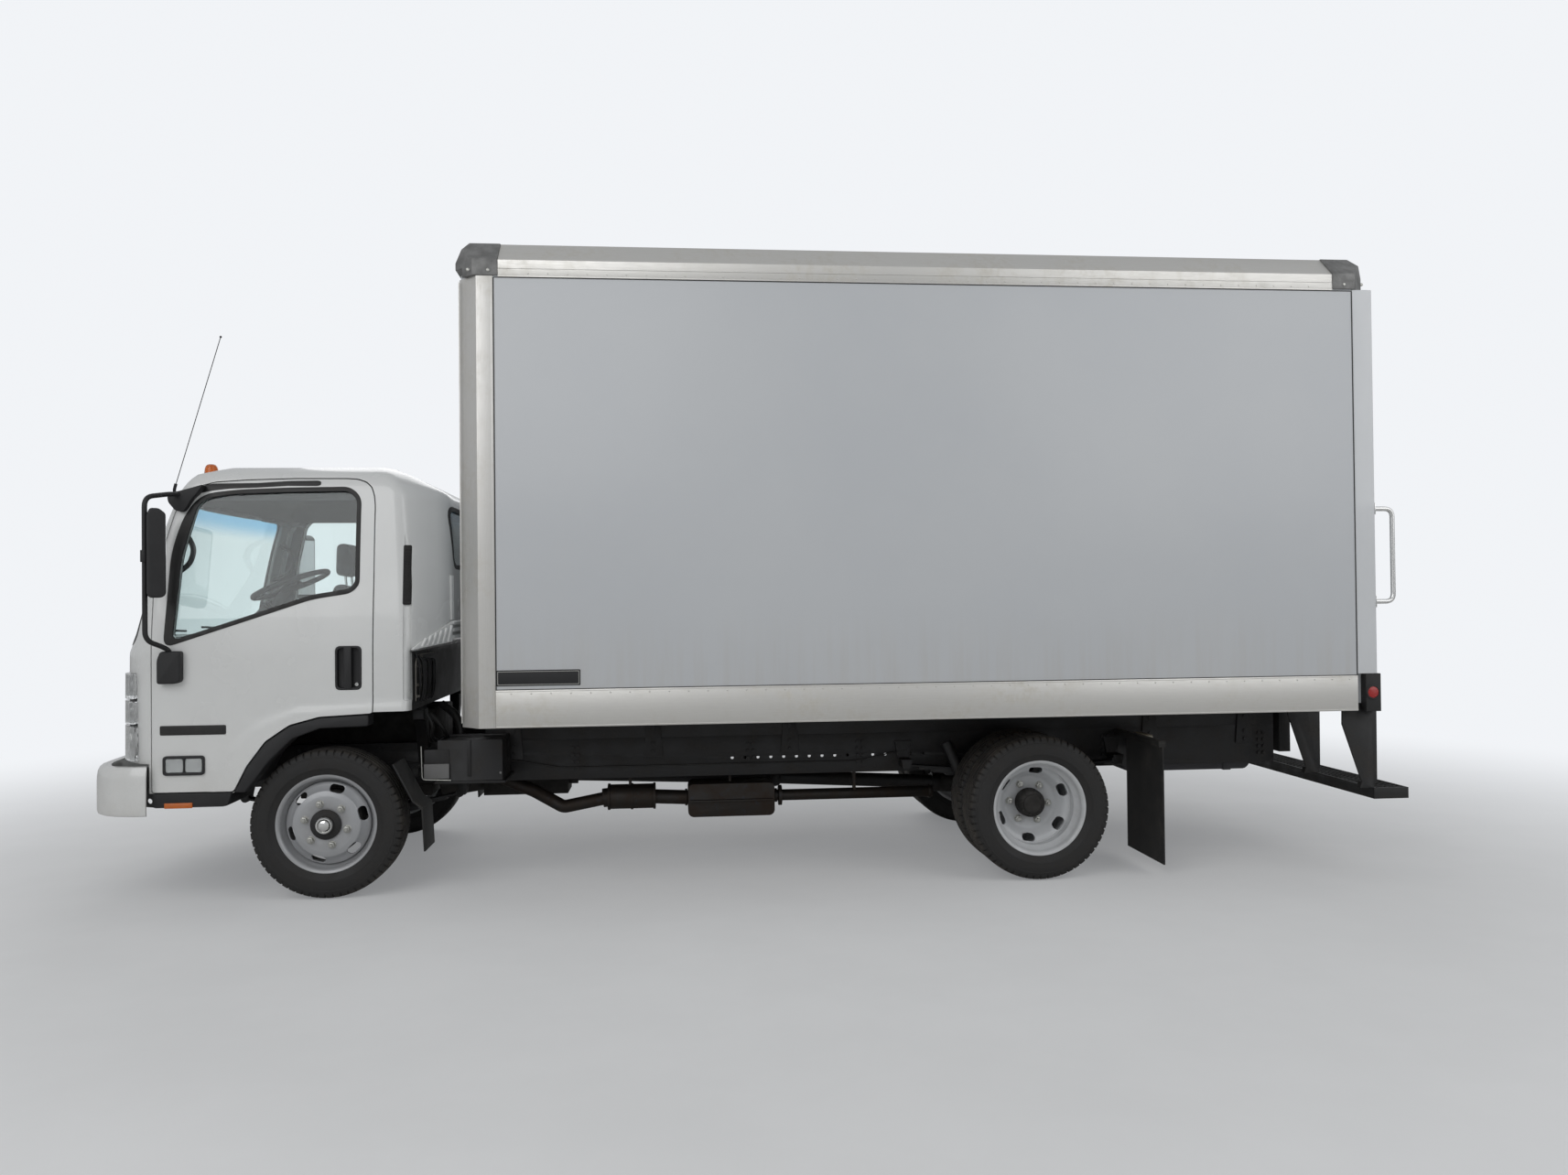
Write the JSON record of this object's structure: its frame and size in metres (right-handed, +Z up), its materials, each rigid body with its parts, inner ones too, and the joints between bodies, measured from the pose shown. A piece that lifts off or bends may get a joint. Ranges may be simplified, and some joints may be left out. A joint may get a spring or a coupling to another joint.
{
  "type": "insulated box truck",
  "caption": "Light cab-over truck with a white tilting cab, opening doors, steered front wheels, twin rear wheels and a plain white insulated box body with aluminium rails and a rear step.",
  "frame": {"origin": "on the ground below the middle of the truck's overall length and width", "axes": "+X forward along the frame rails, +Y to the truck's left, +Z up"},
  "size_m": [7.095, 2.462, 3.418],
  "materials": {
    "cab_paint": "white gloss paint",
    "window_glass": "clear, lightly tinted",
    "black_plastic": "grained black plastic",
    "chassis_paint": "black chassis paint",
    "cast_metal": "bare castings",
    "exhaust_steel": "heat stained steel",
    "tyre_rubber": "black rubber",
    "flap_rubber": "black sheet rubber",
    "wheel_silver": "silver wheel paint",
    "wheel_white": "white wheel paint",
    "body_panel": "white insulated panel skin",
    "rail_aluminium": "mill finish extrusion",
    "cap_casting": "cast grey",
    "floor_timber": "sealed hardwood floor",
    "lamp_clear": "clear lamp lens",
    "lamp_amber": "amber lens",
    "lamp_red": "red lens",
    "seat_fabric": "grey woven cloth",
    "tank_plastic": "black moulded tank"
  },
  "bodies": {
    "chassis": {"chassis_frame": "chassis_paint", "front_axle": "chassis_paint", "rear_axle": "chassis_paint", "leaf_springs": "chassis_paint", "engine_block": "cast_metal", "gearbox": "cast_metal", "propshaft": "chassis_paint", "radiator": "chassis_paint", "exhaust": "exhaust_steel", "fuel_tank": "tank_plastic", "battery_box": "black_plastic", "front_bumper": "cab_paint", "mudguards": "flap_rubber", "cab_mounts": "chassis_paint", "body_subframe": "chassis_paint", "body_floor": "floor_timber", "side_wall_left": "body_panel", "side_wall_right": "body_panel", "front_wall": "body_panel", "roof_panel": "body_panel", "corner_posts": "rail_aluminium", "top_rails": "rail_aluminium", "lower_rails": "rail_aluminium", "corner_caps": "cap_casting", "rear_door_frame": "cab_paint", "roll_up_door": "body_panel", "grab_handles": "rail_aluminium", "tail_lamps": "lamp_red", "rear_step": "chassis_paint", "plate_holder": "black_plastic"},
    "cab": {"cab_shell": "cab_paint", "cab_floor": "cab_paint", "cab_roof": "cab_paint", "cab_header": "cab_paint", "cab_glass": "window_glass", "front_grille": "black_plastic", "head_lamps": "lamp_clear", "roof_lamps": "lamp_amber", "antenna": "black_plastic", "cab_lower_trim": "black_plastic", "dashboard": "black_plastic", "seats": "seat_fabric"},
    "door_left": {"door_left": "cab_paint", "door_glass_left": "window_glass", "mirror_left": "black_plastic"},
    "door_right": {"door_right": "cab_paint", "door_glass_right": "window_glass", "mirror_right": "black_plastic"},
    "knuckle_left": {"knuckle_left": "chassis_paint"},
    "knuckle_right": {"knuckle_right": "chassis_paint"},
    "tie_rod": {"tie_rod": "chassis_paint"},
    "front_wheel_left": {"front_wheel_left": "wheel_silver", "front_tyre_left": "tyre_rubber"},
    "front_wheel_right": {"front_wheel_right": "wheel_silver", "front_tyre_right": "tyre_rubber"},
    "rear_wheels_left": {"rear_wheels_left": "wheel_white", "rear_tyres_left": "tyre_rubber"},
    "rear_wheels_right": {"rear_wheels_right": "wheel_white", "rear_tyres_right": "tyre_rubber"}
  },
  "joints": [
    {"name": "cab_tilt", "type": "hinge", "parent": "chassis", "child": "cab", "pos_m": [3.3125, 0, 0.762], "axis": [0, 1, 0], "range_deg": [0, 45]},
    {"name": "door_left_swing", "type": "hinge", "parent": "cab", "child": "door_left", "pos_m": [3.1675, 0.981, 1], "axis": [0, 0, -1], "range_deg": [0, 75]},
    {"name": "door_right_swing", "type": "hinge", "parent": "cab", "child": "door_right", "pos_m": [3.1675, -0.981, 1], "axis": [0, 0, 1], "range_deg": [0, 75]},
    {"name": "steer_left", "type": "hinge", "parent": "chassis", "child": "knuckle_left", "pos_m": [2.3125, 0.73, 0.393], "axis": [0, 0, 1], "range_deg": [-35, 35]},
    {"name": "steer_right", "type": "hinge", "parent": "chassis", "child": "knuckle_right", "pos_m": [2.3125, -0.73, 0.393], "axis": [0, 0, 1], "range_deg": [-35, 35]},
    {"name": "tie_rod_pivot", "type": "hinge", "parent": "knuckle_left", "child": "tie_rod", "pos_m": [2.1625, 0.73, 0.288], "axis": [0, 0, 1], "range_deg": [-35, 35]},
    {"name": "front_wheel_left_spin", "type": "hinge", "parent": "knuckle_left", "child": "front_wheel_left", "pos_m": [2.3125, 0.832, 0.393], "axis": [0, 1, 0], "continuous": true},
    {"name": "front_wheel_right_spin", "type": "hinge", "parent": "knuckle_right", "child": "front_wheel_right", "pos_m": [2.3125, -0.832, 0.393], "axis": [0, 1, 0], "continuous": true},
    {"name": "rear_wheels_left_spin", "type": "hinge", "parent": "chassis", "child": "rear_wheels_left", "pos_m": [-1.4975, 0.825, 0.393], "axis": [0, 1, 0], "continuous": true},
    {"name": "rear_wheels_right_spin", "type": "hinge", "parent": "chassis", "child": "rear_wheels_right", "pos_m": [-1.4975, -0.825, 0.393], "axis": [0, 1, 0], "continuous": true}
  ],
  "couplings": [
    {"joint": "steer_right", "follows": "steer_left", "ratio": 1},
    {"joint": "tie_rod_pivot", "follows": "steer_left", "ratio": -1}
  ]
}
